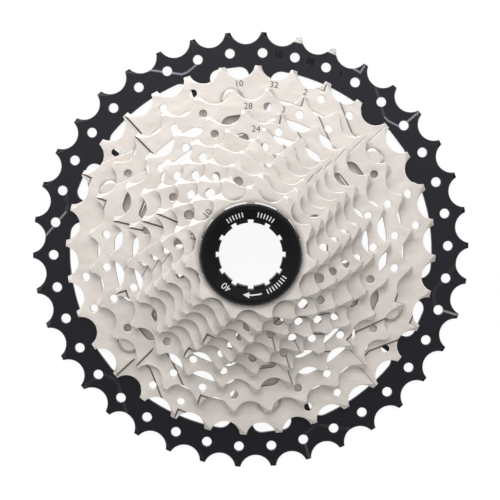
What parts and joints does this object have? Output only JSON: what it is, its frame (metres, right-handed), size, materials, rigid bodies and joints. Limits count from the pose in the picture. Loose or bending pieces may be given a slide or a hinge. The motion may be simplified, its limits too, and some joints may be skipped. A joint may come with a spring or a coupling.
{
  "type": "bicycle cassette sprocket set",
  "caption": "Stepped stack of toothed sprockets on riveted carriers and spacers, with a splined bore, shift ramps, and a threaded lockring with a notched tool bore.",
  "frame": {"origin": "on the wheel axle's line, in the plane of the large carrier's seat, which is the part's base", "axes": "+Z along the axle towards the lockring; +Y at the narrow spline tab"},
  "size_m": [0.1546, 0.1546, 0.0399],
  "materials": {
    "nickel_steel": "satin nickel plate on pressed steel",
    "black_steel": "black electrophoretic coat on steel",
    "carrier_alloy": "satin forged alloy",
    "rivet_steel": "plated",
    "spacer_plastic": "moulded",
    "lockring_alloy": "black anodised alloy",
    "washer_steel": "plated"
  },
  "bodies": {
    "large_cluster": {"sprocket_38t": "black_steel", "large_carrier": "carrier_alloy", "sprocket_32t": "nickel_steel", "large_rivets": "rivet_steel"},
    "spacer_32_28": {"spacer_32_28": "spacer_plastic"},
    "small_cluster": {"sprocket_28t": "nickel_steel", "small_carrier": "carrier_alloy", "sprocket_24t": "nickel_steel", "small_rivets": "rivet_steel"},
    "spacer_24_21": {"spacer_24_21": "spacer_plastic"},
    "sprocket_21t": {"sprocket_21t": "nickel_steel"},
    "spacer_21_19": {"spacer_21_19": "spacer_plastic"},
    "sprocket_19t": {"sprocket_19t": "nickel_steel"},
    "spacer_19_17": {"spacer_19_17": "spacer_plastic"},
    "sprocket_17t": {"sprocket_17t": "nickel_steel"},
    "spacer_17_15": {"spacer_17_15": "spacer_plastic"},
    "sprocket_15t": {"sprocket_15t": "nickel_steel"},
    "sprocket_13t": {"sprocket_13t": "nickel_steel"},
    "sprocket_11t": {"sprocket_11t": "nickel_steel"},
    "lockring_washer": {"lockring_washer": "washer_steel"},
    "lockring": {"lockring": "lockring_alloy"}
  },
  "joints": [
    {"name": "spacer_32_28_slide", "type": "slide", "parent": "large_cluster", "child": "spacer_32_28", "axis": [0, 0, 1], "range_m": [0, 0.008]},
    {"name": "small_cluster_slide", "type": "slide", "parent": "spacer_32_28", "child": "small_cluster", "axis": [0, 0, 1], "range_m": [0, 0.008]},
    {"name": "spacer_24_21_slide", "type": "slide", "parent": "small_cluster", "child": "spacer_24_21", "axis": [0, 0, 1], "range_m": [0, 0.008]},
    {"name": "sprocket_21t_slide", "type": "slide", "parent": "spacer_24_21", "child": "sprocket_21t", "axis": [0, 0, 1], "range_m": [0, 0.008]},
    {"name": "spacer_21_19_slide", "type": "slide", "parent": "sprocket_21t", "child": "spacer_21_19", "axis": [0, 0, 1], "range_m": [0, 0.008]},
    {"name": "sprocket_19t_slide", "type": "slide", "parent": "spacer_21_19", "child": "sprocket_19t", "axis": [0, 0, 1], "range_m": [0, 0.008]},
    {"name": "spacer_19_17_slide", "type": "slide", "parent": "sprocket_19t", "child": "spacer_19_17", "axis": [0, 0, 1], "range_m": [0, 0.008]},
    {"name": "sprocket_17t_slide", "type": "slide", "parent": "spacer_19_17", "child": "sprocket_17t", "axis": [0, 0, 1], "range_m": [0, 0.008]},
    {"name": "spacer_17_15_slide", "type": "slide", "parent": "sprocket_17t", "child": "spacer_17_15", "axis": [0, 0, 1], "range_m": [0, 0.008]},
    {"name": "sprocket_15t_slide", "type": "slide", "parent": "spacer_17_15", "child": "sprocket_15t", "axis": [0, 0, 1], "range_m": [0, 0.008]},
    {"name": "sprocket_13t_slide", "type": "slide", "parent": "sprocket_15t", "child": "sprocket_13t", "axis": [0, 0, 1], "range_m": [0, 0.008]},
    {"name": "sprocket_11t_slide", "type": "slide", "parent": "sprocket_13t", "child": "sprocket_11t", "axis": [0, 0, 1], "range_m": [0, 0.008]},
    {"name": "lockring_travel", "type": "slide", "parent": "sprocket_11t", "child": "lockring_washer", "axis": [0, 0, 1], "range_m": [0, 0.00529]},
    {"name": "lockring_turn", "type": "hinge", "parent": "lockring_washer", "child": "lockring", "pos_m": [0, 0, 0.0385], "axis": [0, 0, 1], "range_deg": [0, 1800]}
  ],
  "couplings": [
    {"joint": "lockring_travel", "follows": "lockring_turn", "m_per_rad": 0.00016839}
  ]
}
